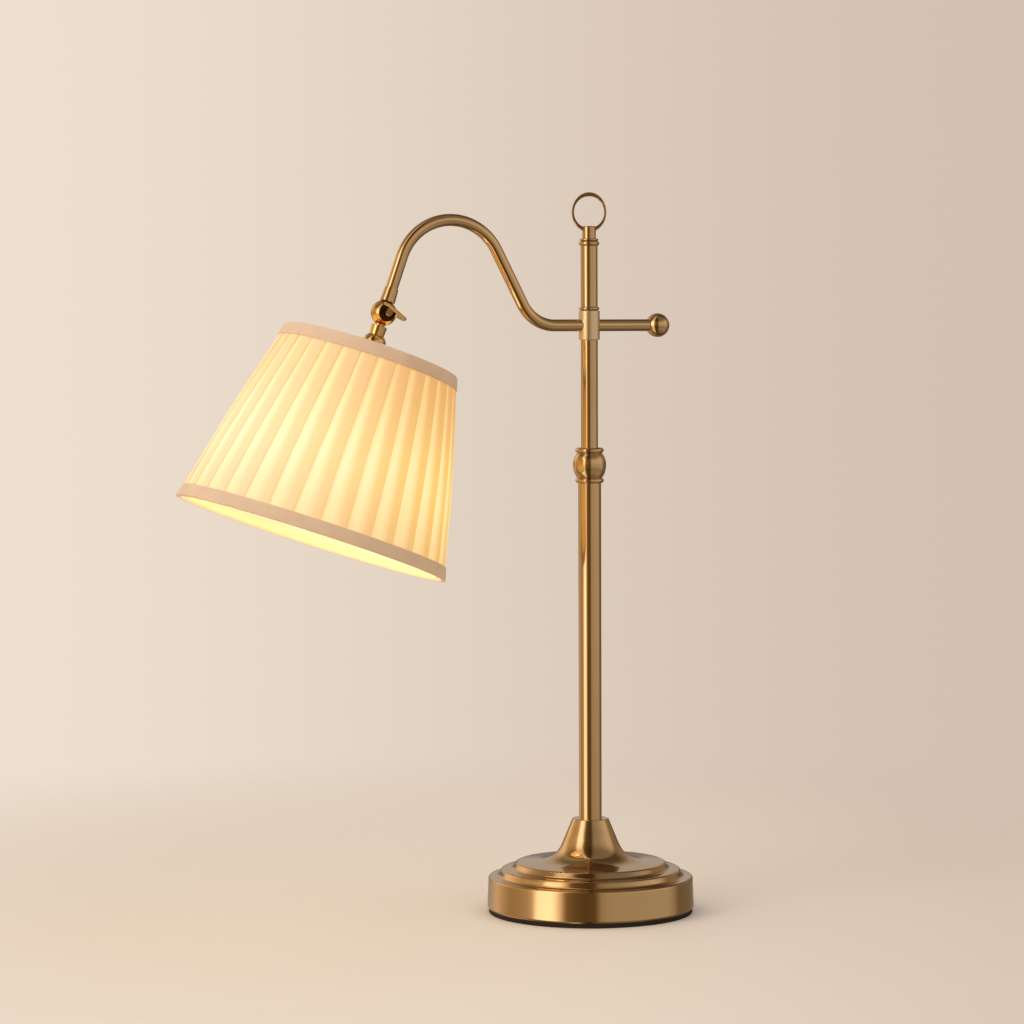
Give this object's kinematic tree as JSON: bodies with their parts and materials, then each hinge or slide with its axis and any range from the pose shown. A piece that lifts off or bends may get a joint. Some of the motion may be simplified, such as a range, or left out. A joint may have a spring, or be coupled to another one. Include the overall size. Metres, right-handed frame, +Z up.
{
  "type": "swing arm desk lamp",
  "caption": "Traditional desk lamp with a stepped base, a turned stem, a gooseneck arm that swings about the stem, and a pleated fabric shade on a tilting ball swivel.",
  "frame": {"origin": "on the stem's axis at the base's underside", "axes": "+Z up the stem, the arm reaches towards -X, and the side seen in use is -Y"},
  "size_m": [0.4394, 0.228, 0.6],
  "materials": {
    "brass": "brushed antique brass, lacquered",
    "swivel_brass": "polished brass, dark in the recess",
    "rubber": "matt black",
    "steel": "zinc plated",
    "cast_iron": "sand cast",
    "nylon": "natural nylon",
    "lead_pvc": "brown sheath",
    "lampholder_plastic": "moulded, cream",
    "porcelain": "glazed white",
    "contact_brass": "pressed, bright",
    "frame_paint": "white paint on steel wire",
    "pleated_fabric": "fine plain weave, knife pleats, lit from inside",
    "lining": "smooth bonded lining",
    "trim_fabric": "bias-cut ribbon",
    "bulb_glass": "opal",
    "bulb_inner": "glass mount and filament rods"
  },
  "bodies": {
    "stand": {"base_pad": "rubber", "base_cover_plate": "steel", "cover_plate_screws": "steel", "base_weight": "cast_iron", "base_shell": "brass", "cord_inlet_bush": "rubber", "stem_rod": "steel", "stem_nut": "steel", "stem_washer": "steel", "lower_tube": "brass", "knuckle_lower_ring": "brass", "knuckle_barrel": "brass", "knuckle_upper_ring": "brass", "upper_tube": "brass", "collar_bead": "brass", "top_tube": "brass", "finial_lower_bead": "brass", "finial_upper_bead": "brass", "finial_neck": "brass", "finial_ring": "brass", "swing_spindle": "steel", "swing_stop_pin": "steel", "swing_washers": "nylon", "stem_lead": "lead_pvc"},
    "arm": {"collar": "brass", "arm_tube": "brass", "arm_lead": "lead_pvc", "arm_sleeve": "brass", "counter_rod": "brass", "counter_ball": "brass", "swivel_back_half": "swivel_brass", "tilt_stop_pin": "steel"},
    "key": {"wing_key": "swivel_brass"},
    "head": {"swivel_front_half": "swivel_brass", "head_neck": "brass", "head_nipple": "steel", "head_lead": "lead_pvc", "holder_cup": "brass", "lampholder_shell": "lampholder_plastic", "lampholder_insulator": "porcelain", "lampholder_screw_shell": "contact_brass", "lampholder_contact": "contact_brass", "shade_rings": "lampholder_plastic", "shade_carrier": "frame_paint", "shade_top_wire": "frame_paint", "shade_bottom_wire": "frame_paint", "shade_lining": "lining", "shade_cover": "pleated_fabric", "shade_top_trim": "trim_fabric", "shade_bottom_trim": "trim_fabric", "bulb_cap": "contact_brass", "bulb_glass": "bulb_glass", "bulb_mount": "bulb_inner", "bulb_filaments": "bulb_inner"}
  },
  "joints": [
    {"name": "arm_swing", "type": "hinge", "parent": "stand", "child": "arm", "pos_m": [0, 0, 0.49], "axis": [0, 0, 1], "range_deg": [-150, 150]},
    {"name": "shade_tilt", "type": "hinge", "parent": "arm", "child": "head", "pos_m": [-0.18176, 0, 0.50049], "axis": [0, 1, 0], "range_deg": [-30, 75]},
    {"name": "key_turn", "type": "hinge", "parent": "arm", "child": "key", "pos_m": [-0.18176, 0, 0.50049], "axis": [0, 1, 0], "range_deg": [-180, 0]}
  ]
}
